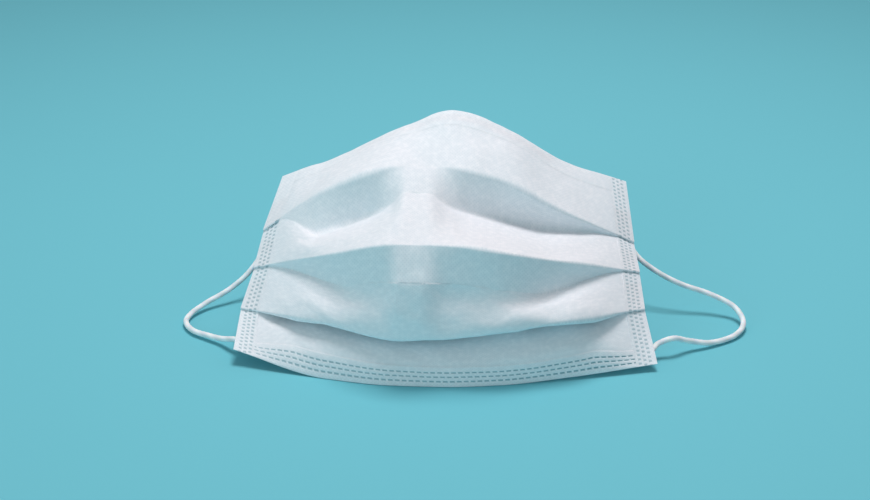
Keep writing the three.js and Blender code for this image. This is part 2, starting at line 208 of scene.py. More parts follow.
@dataclass
class MaskForm:
    """The sizes of the mask as it stands, and the drape that they give."""

    width: float = 176.0
    reach: float = 100.0
    tall: float = 85.0
    top_panel: float = 30.0
    upper_panel: float = 20.0
    lower_panel: float = 20.0
    bottom_panel: float = 26.0
    pleat: float = 14.0
    top_hem: float = 8.0
    bottom_hem: float = 12.0
    seal_share: float = 0.1
    hem_middle: Tuple[float, float] = (-4.84, -50.20)
    cloth: float = 0.34
    pressed_radius: float = 0.24
    least_strip: float = 0.8
    fold_steps: int = 7
    stacked_radii: float = 4.0
    slack_softness: float = 0.5
    slack_ease: float = 1.5
    turn_softness: float = 3.0
    squeeze_probe: float = 0.02
    least_squeeze_squared: float = 0.4

    @property
    def shut(self) -> float:
        """Share of the half width where the seals begin."""
        return 1.0 - self.seal_share

    def place(self, line: FoldLine, u: np.ndarray) -> np.ndarray:
        """Return the places of a fold line in millimetres, from the hem's middle."""
        left, right = line.across
        x = self.width / 2 * (left + (right - left) * (u + 1) / 2)
        back = self.reach * smooth(STATIONS, line.back, u)
        up = self.tall * smooth(STATIONS, line.up, u)
        return np.stack([x, back, up], -1)

    def squeeze(self, line: FoldLine, u: np.ndarray, angle: np.ndarray) -> np.ndarray:
        """Return how much a section squeezes the cloth where the mask curves round to its sides."""
        step = self.squeeze_probe
        run = self.place(line, np.minimum(1, u + step)) - self.place(line, np.maximum(-1, u - step))
        run /= np.linalg.norm(run, axis=-1, keepdims=True)
        out = outward(angle)
        facing = out[..., 0] * run[..., 1] + out[..., 1] * run[..., 2]
        return np.sqrt(np.clip(1 - facing ** 2, self.least_squeeze_squared, 1))

    def rise(self, line: FoldLine, u: np.ndarray, stacked: bool) -> np.ndarray:
        """Return how far a pleat is open at each column, from 0 at the seals to 1."""
        if stacked:
            return np.zeros_like(u)
        share = np.clip((self.shut - np.abs(u)) / np.where(u < 0, line.gusset[0], line.gusset[1]), 0, 1)
        return (share + ease(share)) / 2

    def panel(self, line: FoldLine, u: np.ndarray, start: np.ndarray, end: np.ndarray, cloth: np.ndarray,
              shares: np.ndarray, rise: np.ndarray) -> Tuple[np.ndarray, np.ndarray, np.ndarray]:
        """Lay the panel below a fold line, bulging outward where its cloth is loose, or sinking in.

        Args:
            line: the fold line above the panel.
            u: the columns.
            start: where each section's panel begins, back and up.
            end: where it ends.
            cloth: the panel's length of cloth in each section.
            shares: where along the panel the points stand, from 0 to 1.
            rise: how far the pleat above is open.

        Returns:
            The points, and the headings at the panel's start and end.
        """
        gap = np.linalg.norm(end - start, axis=-1)
        slack = soften(cloth - gap, self.slack_softness)
        limit = np.maximum(rise * smooth(STRIP_STATIONS, line.bulge, u), LEAST_BULGE)
        bulge = limit * np.tanh(np.sqrt(BULGE_RATE * gap) * slack / np.sqrt(slack + self.slack_ease) / limit)
        dip = SAG_RATE * rise * smooth(STRIP_STATIONS, line.sag, u)
        face = heading(start, end)
        t = shares[None, :, None]
        points = start[:, None] * (1 - t) + end[:, None] * t
        stand = 4 * bulge[:, None, None] * t * (1 - t) - dip[:, None, None] * t * (1 - t) ** 2
        points = points + outward(face)[:, None] * stand
        return points, face - np.arctan2(4 * bulge - dip, gap), face + np.arctan2(4 * bulge, gap)

    def fold(self, start: np.ndarray, first: np.ndarray, last: np.ndarray, radius: np.ndarray,
             side: int) -> Tuple[np.ndarray, np.ndarray]:
        """Round a fold from one heading to another.

        Args:
            start: where each section's fold begins.
            first: the heading there.
            last: the heading where the fold ends.
            radius: the fold's radius.
            side: 1 for a ridge and -1 for a valley.

        Returns:
            The fold's points and its last heading.
        """
        turn = soften(side * (last - first), math.radians(self.turn_softness))
        centre = start - side * radius[:, None] * outward(first)
        angles = first[:, None] + side * turn[:, None] * np.linspace(0, 1, self.fold_steps + 1)[None]
        points = centre[:, None] + side * radius[:, None, None] * outward(angles)
        return points, angles[:, -1]

    def drape(self, u: np.ndarray, spacing: float, stacked: bool = False) -> Drape:
        """Work out the cloth's points at the given columns.

        Args:
            u: the columns, from -1 at the left end to 1 at the right one.
            spacing: the distance between rows in millimetres.
            stacked: whether the pleats lie shut on each other, as they do in a seal.

        Returns:
            The drape, with its rows named for the hems, the folds and the body between them.
        """
        edge = TOP_EDGE
        rise = self.rise(edge, u, stacked)
        visible = (self.top_panel, self.upper_panel, self.lower_panel, self.bottom_panel)
        start = self.place(TOP_EDGE, u)[:, 1:]
        spots: List[np.ndarray] = [start[:, None]]
        down = [0.0]
        rows = {}
        ridge_above = layers = None
        bottom = len(visible) - 1
        ends = np.linspace(0, 1, 3)
        for k in range(len(visible)):
            end = self.place(LINES[k + 1], u)[:, 1:]
            cloth = visible[k] + (self.pleat if k else 0.0)
            hem = self.top_hem if k == 0 else cloth - self.bottom_hem if k == bottom else None
            shares = self.steps(cloth, hem, spacing)
            shown = visible[k] + (self.pleat * rise if k else 0.0)
            face, _, last = self.panel(edge, u, start, end, shown, shares, rise)
            if k and stacked:
                face = self.tuck(start, ridge_above, end, shares, layers)
                last = heading(face[:, -3], face[:, -1])
            if k == 0:
                rows["top_hem"] = (0, self.count(self.top_hem, spacing) + 1)
            if k == bottom:
                hem_start = len(down) - 1 + self.count(hem, spacing)
            spots.append(face[:, 1:])
            down += list(down[-1] + cloth * shares[1:])
            if k == bottom:
                break
            rows["ridge_%d" % (k + 1)] = len(down) - 1
            edge = LINES[k + 1]
            rise = self.rise(edge, u, stacked)
            radius = self.pressed_radius + (edge.round - self.pressed_radius) * rise
            radius = radius / self.squeeze(edge, u, last)
            wide = np.radians(smooth(STRIP_STATIONS, edge.strip, u))
            back = last + math.pi if stacked else wide
            crest, leave = self.fold(end, last, back, radius, 1)
            foot = crest[:, -1]
            depth = np.full_like(u, self.pleat)
            if not stacked:
                depth = self.least_strip + (self.pleat - self.least_strip) * rise
            valley = foot + depth[:, None] * along(leave)
            below = self.place(LINES[k + 2], u)[:, 1:]
            trough, _ = self.fold(valley, leave, heading(valley, below), radius, -1)
            shown = visible[k + 1] + self.pleat * rise
            _, first, _ = self.panel(edge, u, trough[:, -1], below, shown, ends, rise)
            trough, _ = self.fold(valley, leave, first, radius, -1)
            t = np.linspace(0, 1, self.count(self.pleat, spacing) + 1)[None, 1:, None]
            spots += [crest[:, 1:], foot[:, None] * (1 - t) + valley[:, None] * t, trough[:, 1:]]
            down += self.walk(crest, down[-1])
            down += list(down[-1] + self.pleat * t[0, :, 0])
            down += self.walk(trough, down[-1])
            start = trough[:, -1]
            ridge_above = end
            layers = self.stacked_radii * radius
        section = np.concatenate(spots, 1)
        rows["bottom_hem"] = (hem_start, section.shape[1])
        rows["body"] = (rows["top_hem"][1] - 1, hem_start + 1)
        return self.spread(section, u, np.array(down), rows)

    def walk(self, fold: np.ndarray, start: float) -> List[float]:
        """Return how far down the cloth the points of a fold are, taken over all sections."""
        return list(start + np.cumsum(np.linalg.norm(np.diff(fold, axis=1), axis=-1).mean(0)))

    def count(self, length: float, spacing: float) -> int:
        """Return the number of steps that a length of cloth takes."""
        return max(3, int(round(length / spacing)))

    def steps(self, cloth: float, hem: Optional[float], spacing: float) -> np.ndarray:
        """Return shares down a panel, with one of them on the hem's line where it has a hem."""
        if hem is None:
            return np.linspace(0, 1, self.count(cloth, spacing) + 1)
        upper = np.linspace(0, hem / cloth, self.count(hem, spacing) + 1)
        return np.concatenate([upper, np.linspace(hem / cloth, 1, self.count(cloth - hem, spacing) + 1)[1:]])

    def tuck(self, start: np.ndarray, ridge_above: np.ndarray, end: np.ndarray, shares: np.ndarray,
             layers: np.ndarray) -> np.ndarray:
        """Press a panel in behind the ridge above it, as in a shut pleat.

        Args:
            start: where the panel begins, behind the ridge above.
            ridge_above: the place of that ridge.
            end: the panel's lower end.
            shares: where along the panel the points stand.
            layers: the thickness of the cloth in front of the panel.

        Returns:
            The panel's points.
        """
        behind = ridge_above - outward(heading(ridge_above, end)) * layers[:, None]
        first = np.linalg.norm(behind - start, axis=-1)
        second = np.linalg.norm(end - behind, axis=-1)
        knee = (first / (first + second))[:, None, None]
        t = shares[None, :, None]
        upper = start[:, None] + (behind - start)[:, None] * np.clip(t / knee, 0, 1)
        return upper + (end - behind)[:, None] * np.clip((t - knee) / (1 - knee), 0, 1)

    def spread(self, section: np.ndarray, u: np.ndarray, down: np.ndarray, rows: dict) -> Drape:
        """Give each point its place across the mask, taken from the nearest stretch of fold lines."""
        lines = np.stack([self.place(line, u) for line in LINES], 1)
        x = np.zeros(section.shape[:2])
        nearest = np.full(section.shape[:2], np.inf)
        for k in range(len(LINES) - 1):
            a, b = lines[:, k], lines[:, k + 1]
            run = (b - a)[:, 1:]
            t = np.einsum("mnk,mk->mn", section - a[:, None, 1:], run) / np.sum(run * run, -1)[:, None]
            t = np.clip(t, 0, 1)
            spot = a[:, None, 1:] + run[:, None] * t[..., None]
            away = np.linalg.norm(section - spot, axis=-1)
            closer = away < nearest
            nearest = np.where(closer, away, nearest)
            x = np.where(closer, a[:, None, 0] * (1 - t) + b[:, None, 0] * t, x)
        points = np.concatenate([x[..., None], section], -1)
        run = np.gradient(section, axis=1)
        run /= np.maximum(np.linalg.norm(run, axis=-1, keepdims=True), LEAST_RUN)
        normals = np.stack([np.zeros_like(x), run[..., 1], -run[..., 0]], -1)
        wide = np.repeat((u * self.width / 2)[:, None], section.shape[1], 1)
        return Drape(points, normals, wide, np.repeat(down[None], len(u), 0), rows)

    def to_scene(self, points: np.ndarray) -> np.ndarray:
        """Move points from the hem's middle into the frame, in metres."""
        return (points + np.array([self.hem_middle[0], self.hem_middle[1], 0.0])) * MM


FORM = MaskForm()


class Crumple:
    """Soft unevenness of handled cloth, the same wherever two pieces meet.

    SORTS has a row for each sort of wave: its length and height in millimetres, and how many there are.
    SPREAD is the shortest and the longest wave of a sort, as shares of its length.
    """

    SORTS = ((46.0, 0.17, 7), (21.0, 0.06, 9), (9.0, 0.016, 12))
    SPREAD = (0.7, 1.4)

    def __init__(self, seed: int = 7) -> None:
        """Draw the waves once from a fixed seed."""
        draw = np.random.default_rng(seed)
        self.waves = []
        for length, height, number in self.SORTS:
            for _ in range(number):
                way = draw.uniform(0, 2 * math.pi)
                size = length * draw.uniform(*self.SPREAD)
                self.waves.append((way, 2 * math.pi / size, draw.uniform(0, 2 * math.pi), height))

    def lift(self, across: np.ndarray, down: np.ndarray) -> np.ndarray:
        """Return the height of the unevenness at places on the flat cloth."""
        total = np.zeros_like(across)
        for way, rate, phase, height in self.waves:
            total += height * np.sin((across * math.cos(way) + down * math.sin(way)) * rate + phase)
        return total


CRUMPLE = Crumple()


def deselect() -> None:
    """Leave nothing selected, the CAD nodes included."""
    for item in bpy.context.view_layer.objects:
        item.select_set(False)


def activate(item: bpy.types.Object) -> None:
    """Make one object the only one selected and the active one."""
    deselect()
    item.select_set(True)
    bpy.context.view_layer.objects.active = item


def cloth_piece(name: str, points: np.ndarray, flat: np.ndarray, weld: np.ndarray,
                thickness: float) -> bpy.types.Object:
    """Make a cloth piece from a grid that is laid over the drape and given its thickness.

    Args:
        name: the piece's name.
        points: places in metres, columns by rows by three.
        flat: places on the flat cloth in metres, columns by rows by two.
        weld: how welded each place is, from 0 to 1, which also sets how much painted shade its colour takes.
        thickness: the cloth's thickness in metres.

    Returns:
        The finished object.
    """
    wide, tall = points.shape[:2]
    deselect()
    bpy.ops.mesh.primitive_grid_add(x_subdivisions=tall - 1, y_subdivisions=wide - 1, size=1.0)
    piece = bpy.context.active_object
    piece.name = name
    mesh = piece.data
    mesh.name = name
    mesh.vertices.foreach_set("co", np.ascontiguousarray(points, dtype=np.float32).ravel())
    corner = np.zeros(len(mesh.loops), dtype=np.int32)
    mesh.loops.foreach_get("vertex_index", corner)
    layer = mesh.uv_layers[0] if mesh.uv_layers else mesh.uv_layers.new(name=FLAT_CLOTH)
    layer.name = FLAT_CLOTH
    layer.data.foreach_set("uv", np.ascontiguousarray(flat.reshape(-1, 2)[corner], dtype=np.float32).ravel())
    mark = mesh.attributes.new(WELD_AND_SHADE_MARK, "FLOAT", "POINT")
    mark.data.foreach_set("value", np.ascontiguousarray(weld, dtype=np.float32).ravel())
    mesh.update()
    activate(piece)
    wall = piece.modifiers.new("wall", "SOLIDIFY")
    wall.thickness = thickness
    wall.offset = 0.0
    bpy.ops.object.modifier_apply(modifier=wall.name)
    bpy.ops.object.shade_smooth_by_angle(angle=SMOOTH_ANGLE)
    return piece


class NodeBench:
    """Short ways to add and join shader nodes in one tree."""

    MIX_SHARE, MIX_LOW, MIX_HIGH, MIX_RESULT = 0, 6, 7, 2

    def __init__(self, tree: bpy.types.NodeTree) -> None:
        """Keep the tree that nodes are added to."""
        self.tree = tree

    def add(self, kind: str, **values) -> bpy.types.Node:
        """Add a node and set its plain properties."""
        node = self.tree.nodes.new(kind)
        for key, value in values.items():
            setattr(node, key, value)
        return node

    def link(self, start: bpy.types.NodeSocket, end: bpy.types.NodeSocket) -> None:
        """Join two sockets."""
        self.tree.links.new(start, end)

    def math(self, operation: str, first: Value, second: Value, clamp: bool = False) -> bpy.types.NodeSocket:
        """Add a math node and return its output."""
        node = self.add("ShaderNodeMath", operation=operation, use_clamp=clamp)
        for slot, value in enumerate((first, second)):
            if isinstance(value, (int, float)):
                node.inputs[slot].default_value = value
            else:
                self.link(value, node.inputs[slot])
        return node.outputs[0]

    def blend(self, share: Value, low: Union[Colour, bpy.types.NodeSocket],
              high: Union[Colour, bpy.types.NodeSocket]) -> bpy.types.NodeSocket:
        """Mix two colours by a share and return the result."""
        node = self.add("ShaderNodeMix", data_type="RGBA")
        for slot, value in ((self.MIX_SHARE, share), (self.MIX_LOW, low), (self.MIX_HIGH, high)):
            if isinstance(value, (int, float, tuple)):
                node.inputs[slot].default_value = value
            else:
                self.link(value, node.inputs[slot])
        return node.outputs[self.MIX_RESULT]

    def bump(self, height: bpy.types.NodeSocket, strength: float, distance: float) -> bpy.types.NodeSocket:
        """Turn a height into a surface normal and return it."""
        node = self.add("ShaderNodeBump")
        node.inputs["Strength"].default_value = strength
        node.inputs["Distance"].default_value = distance
        self.link(height, node.inputs["Height"])
        return node.outputs[0]


def fresh_material(name: str) -> Tuple[bpy.types.Material, NodeBench, bpy.types.Node]:
    """Return a new material, a bench for its nodes and its shader."""
    material = bpy.data.materials.new(name)
    material.use_nodes = True
    bench = NodeBench(material.node_tree)
    return material, bench, material.node_tree.nodes["Principled BSDF"]


@dataclass(frozen=True)
class SpunFibres:
    """The pattern of spun fibres with pressed bond points, on flat cloth coordinates.

    lays has a row for each lay of fibres: its heading in degrees, and how many times longer than wide.
    """

    bond_turn: float = 45.0
    bond_scatter: float = 0.12
    bond_rim: float = 0.36
    bond_core: float = 0.16
    bond_depth: float = 0.6
    lays: Tuple[Tuple[float, float], ...] = ((25, 7.0), (-35, 9.0), (80, 8.0))
    fibre_detail: float = 2.0
    fibre_height: float = 0.8
    cloud_scale: float = 420.0
    cloud_detail: float = 4.0

    def build(self) -> bpy.types.ShaderNodeTree:
        """Make the node group.

        Returns:
            A group with a height, a tone mask and a bond mask.
        """
        tree = bpy.data.node_groups.new("spun_fibres", "ShaderNodeTree")
        tree.interface.new_socket("Vector", in_out="INPUT", socket_type="NodeSocketVector")
        for word in ("Bonds per metre", "Fibres per metre"):
            tree.interface.new_socket(word, in_out="INPUT", socket_type="NodeSocketFloat")
        for word in ("Height", "Tone", "Bond"):
            tree.interface.new_socket(word, in_out="OUTPUT", socket_type="NodeSocketFloat")
        bench = NodeBench(tree)
        enter = bench.add("NodeGroupInput")
        leave = bench.add("NodeGroupOutput")
        turn = bench.add("ShaderNodeMapping")
        turn.inputs["Rotation"].default_value = (0, 0, math.radians(self.bond_turn))
        bench.link(enter.outputs["Vector"], turn.inputs["Vector"])
        bonds = bench.add("ShaderNodeTexVoronoi", feature="F1", voronoi_dimensions="2D")
        bonds.inputs["Randomness"].default_value = self.bond_scatter
        bench.link(turn.outputs[0], bonds.inputs["Vector"])
        bench.link(enter.outputs["Bonds per metre"], bonds.inputs["Scale"])
        dot = bench.add("ShaderNodeMapRange", interpolation_type="SMOOTHSTEP")
        dot.inputs["From Min"].default_value = self.bond_rim
        dot.inputs["From Max"].default_value = self.bond_core
        bench.link(bonds.outputs["Distance"], dot.inputs["Value"])
        heights = []
        for angle, stretch in self.lays:
            lay = bench.add("ShaderNodeMapping")
            lay.inputs["Rotation"].default_value = (0, 0, math.radians(angle))
            lay.inputs["Scale"].default_value = (1.0, stretch, 1.0)
            bench.link(enter.outputs["Vector"], lay.inputs["Vector"])
            fibre = bench.add("ShaderNodeTexNoise", noise_dimensions="2D")
            fibre.inputs["Detail"].default_value = self.fibre_detail
            bench.link(lay.outputs[0], fibre.inputs["Vector"])
            bench.link(enter.outputs["Fibres per metre"], fibre.inputs["Scale"])
            heights.append(fibre.outputs["Fac"])
        fibres = bench.math("MAXIMUM", bench.math("MAXIMUM", heights[0], heights[1]), heights[2])
        cloud = bench.add("ShaderNodeTexNoise", noise_dimensions="2D")
        cloud.inputs["Scale"].default_value = self.cloud_scale
        cloud.inputs["Detail"].default_value = self.cloud_detail
        bench.link(enter.outputs["Vector"], cloud.inputs["Vector"])
        lifted = bench.math("MULTIPLY", fibres, self.fibre_height)
        pressed = bench.math("MULTIPLY", dot.outputs[0], self.bond_depth)
        bench.link(bench.math("SUBTRACT", lifted, pressed), leave.inputs["Height"])
        bench.link(cloud.outputs["Fac"], leave.inputs["Tone"])
        bench.link(dot.outputs[0], leave.inputs["Bond"])
        return tree


@dataclass(frozen=True)
class ClothFinish:
    """White non-woven cloth: matte fibres, a soft glow and darker glossy welds, whose dark blue-green colour is
    partly painted shade.
    """

    name: str = "nonwoven_white"
    light: Colour = (0.90, 0.90, 0.93, 1.0)
    shade: Colour = (0.80, 0.82, 0.86, 1.0)
    # The weld colour is the welds' own glossy grey with painted shade and the table's blue-green bounce mixed
    # in.
    welded: Colour = (0.16, 0.33, 0.38, 1.0)
    shade_below: float = 0.42
    shade_contrast: float = 2.6
    bond_tint: float = 0.09
    roughness: float = 0.82
    weld_roughness: float = 0.42
    glow: float = 0.25
    glow_reach: float = 0.0025
    sheen: float = 0.15
    sheen_roughness: float = 0.6
    specular: float = 0.25
    bond_pitch: float = 0.0011
    fibre_pitch: float = 0.0009
    relief: float = 0.00004
    relief_strength: float = 0.5

    def build(self, group: bpy.types.ShaderNodeTree) -> bpy.types.Material:
        """Make the material.

        Args:
            group: the pattern of fibres and bonds.

        Returns:
            The material.
        """
        material, bench, shader = fresh_material(self.name)
        flat = bench.add("ShaderNodeUVMap", uv_map=FLAT_CLOTH)
        fibres = bench.add("ShaderNodeGroup", node_tree=group)
        fibres.inputs["Bonds per metre"].default_value = 1 / self.bond_pitch
        fibres.inputs["Fibres per metre"].default_value = 1 / self.fibre_pitch
        bench.link(flat.outputs[0], fibres.inputs["Vector"])
        mark = bench.add("ShaderNodeAttribute", attribute_name=WELD_AND_SHADE_MARK)
        above = bench.math("SUBTRACT", fibres.outputs["Tone"], self.shade_below)
        tone = bench.math("MULTIPLY", above, self.shade_contrast, clamp=True)
        plain = bench.blend(tone, self.shade, self.light)
        # Bond points take a little of the weld colour and weld marks take all of it, painted shade included.
        bonded = bench.blend(bench.math("MULTIPLY", fibres.outputs["Bond"], self.bond_tint), plain, self.welded)
        colour = bench.blend(mark.outputs["Fac"], bonded, self.welded)
        bench.link(colour, shader.inputs["Base Color"])
        rough = bench.add("ShaderNodeMapRange")
        rough.inputs["To Min"].default_value = self.roughness
        rough.inputs["To Max"].default_value = self.weld_roughness
        bench.link(mark.outputs["Fac"], rough.inputs["Value"])
        bench.link(rough.outputs[0], shader.inputs["Roughness"])
        relief = bench.bump(fibres.outputs["Height"], self.relief_strength, self.relief)
        bench.link(relief, shader.inputs["Normal"])
        shader.inputs["Subsurface Weight"].default_value = self.glow
        shader.inputs["Subsurface Radius"].default_value = (1.0, 1.0, 1.0)
        shader.inputs["Subsurface Scale"].default_value = self.glow_reach
        shader.inputs["Sheen Weight"].default_value = self.sheen
        shader.inputs["Sheen Roughness"].default_value = self.sheen_roughness
        shader.inputs["Specular IOR Level"].default_value = self.specular
        return material


@dataclass(frozen=True)
class CordFinish:
    """Knitted white elastic."""

    name: str = "knitted_elastic"
    light: Colour = (0.90, 0.92, 0.93, 1.0)
    shade: Colour = (0.66, 0.71, 0.74, 1.0)
    rib_pitch: float = 0.00062
    bands_per_scale: float = 20.0
    rib_distortion: float = 1.2
    rib_detail: float = 2.0
    rib_share: float = 0.6
    fuzz_scale: float = 2600.0
    fuzz_share: float = 0.4
    relief: float = 0.00012
    relief_strength: float = 0.6
    roughness: float = 0.7
    fuzz_roughness: float = 0.2
    glow: float = 0.15
    glow_reach: float = 0.001

    def build(self) -> bpy.types.Material:
        """Make the material, with ribs that follow the cord."""
        material, bench, shader = fresh_material(self.name)
        run = bench.add("ShaderNodeUVMap", uv_map=FLAT_CLOTH)
        ribs = bench.add("ShaderNodeTexWave", wave_type="BANDS", bands_direction="DIAGONAL")
        ribs.inputs["Scale"].default_value = 1 / self.rib_pitch / self.bands_per_scale
        ribs.inputs["Distortion"].default_value = self.rib_distortion
        ribs.inputs["Detail"].default_value = self.rib_detail
        bench.link(run.outputs[0], ribs.inputs["Vector"])
        fuzz = bench.add("ShaderNodeTexNoise")
        fuzz.inputs["Scale"].default_value = self.fuzz_scale
        bench.link(run.outputs[0], fuzz.inputs["Vector"])
        mixed = bench.math("ADD", bench.math("MULTIPLY", ribs.outputs["Fac"], self.rib_share),
                           bench.math("MULTIPLY", fuzz.outputs["Fac"], self.fuzz_share))
        bench.link(bench.blend(mixed, self.shade, self.light), shader.inputs["Base Color"])
        bench.link(bench.bump(mixed, self.relief_strength, self.relief), shader.inputs["Normal"])
        fuzzy = bench.math("MULTIPLY", fuzz.outputs["Fac"], self.fuzz_roughness)
        bench.link(bench.math("ADD", fuzzy, self.roughness), shader.inputs["Roughness"])
        shader.inputs["Subsurface Weight"].default_value = self.glow
        shader.inputs["Subsurface Scale"].default_value = self.glow_reach
        return material


@dataclass(frozen=True)
class WireFinish:
    """Soft bare wire with a faint drawn grain."""

    name: str = "soft_wire"
    light: Colour = (0.78, 0.79, 0.81, 1.0)
    shade: Colour = (0.58, 0.59, 0.62, 1.0)
    grain_scale: float = 900.0
    roughness: float = 0.25
    grain_roughness: float = 0.25

    def build(self) -> bpy.types.Material:
        """Make the material."""
        material, bench, shader = fresh_material(self.name)
        place = bench.add("ShaderNodeTexCoord")
        grain = bench.add("ShaderNodeTexNoise")
        grain.inputs["Scale"].default_value = self.grain_scale
        bench.link(place.outputs["Object"], grain.inputs["Vector"])
        bench.link(bench.blend(grain.outputs["Fac"], self.shade, self.light), shader.inputs["Base Color"])
        drawn = bench.math("MULTIPLY", grain.outputs["Fac"], self.grain_roughness)
        bench.link(bench.math("ADD", drawn, self.roughness), shader.inputs["Roughness"])
        shader.inputs["Metallic"].default_value = 1.0
        return material


@dataclass(frozen=True)
class FloorFinish:
    """Plain blue-green table, as light as the ground in the photograph."""

    name: str = "pale_table"
    colour: Colour = (0.16, 0.52, 0.60, 1.0)
    cloud_scale: float = 3.0
    cloud_shade: float = 0.98
    roughness: float = 0.9
    specular: float = 0.1

    def build(self) -> bpy.types.Material:
        """Make the material."""
        material, bench, shader = fresh_material(self.name)
        place = bench.add("ShaderNodeTexCoord")
        cloud = bench.add("ShaderNodeTexNoise")
        cloud.inputs["Scale"].default_value = self.cloud_scale
        bench.link(place.outputs["Object"], cloud.inputs["Vector"])
        darker = tuple(self.cloud_shade * part for part in self.colour[:3]) + (1.0,)
        bench.link(bench.blend(cloud.outputs["Fac"], darker, self.colour), shader.inputs["Base Color"])
        shader.inputs["Roughness"].default_value = self.roughness
        shader.inputs["Specular IOR Level"].default_value = self.specular
        return material


@dataclass
class Camera:
    """The photograph's point of view."""

    azimuth: float = 2.0
    elevation: float = 24.0
    focal_pixels: float = 1478.0
    distance: float = 573.0
    frame_width: float = 870.0
    frame_height: float = 500.0
    hem_pixel: Tuple[float, float] = (431.0, 386.5)
    sensor: float = 36.0
    clip: Tuple[float, float] = (0.01, 20.0)

    def build(self) -> bpy.types.Object:
        """Place the camera so that the hem's middle falls on its pixel.

        Returns:
            The camera.
        """
        a, e = math.radians(self.azimuth), math.radians(self.elevation)
        back = Vector((math.sin(a) * math.cos(e), -math.cos(a) * math.cos(e), math.sin(e)))
        right = Vector((math.cos(a), math.sin(a), 0))
        up = back.cross(right)
        scale = self.distance / self.focal_pixels
        aside = (self.hem_pixel[0] - self.frame_width / 2) * scale
        above = (self.frame_height / 2 - self.hem_pixel[1]) * scale
        hem = Vector((FORM.hem_middle[0], FORM.hem_middle[1], 0))
        place = (hem + back * self.distance - right * aside - up * above) * MM
        data = bpy.data.cameras.new("photo_camera")
        data.sensor_width = self.sensor
        data.lens = self.focal_pixels / self.frame_width * data.sensor_width
        data.clip_start, data.clip_end = self.clip
        camera = bpy.data.objects.new("photo_camera", data)
        bpy.context.scene.collection.objects.link(camera)
        turn = Matrix((right, up, back)).transposed()
        camera.matrix_world = Matrix.Translation(place) @ turn.to_4x4()
        bpy.context.scene.camera = camera
        return camera


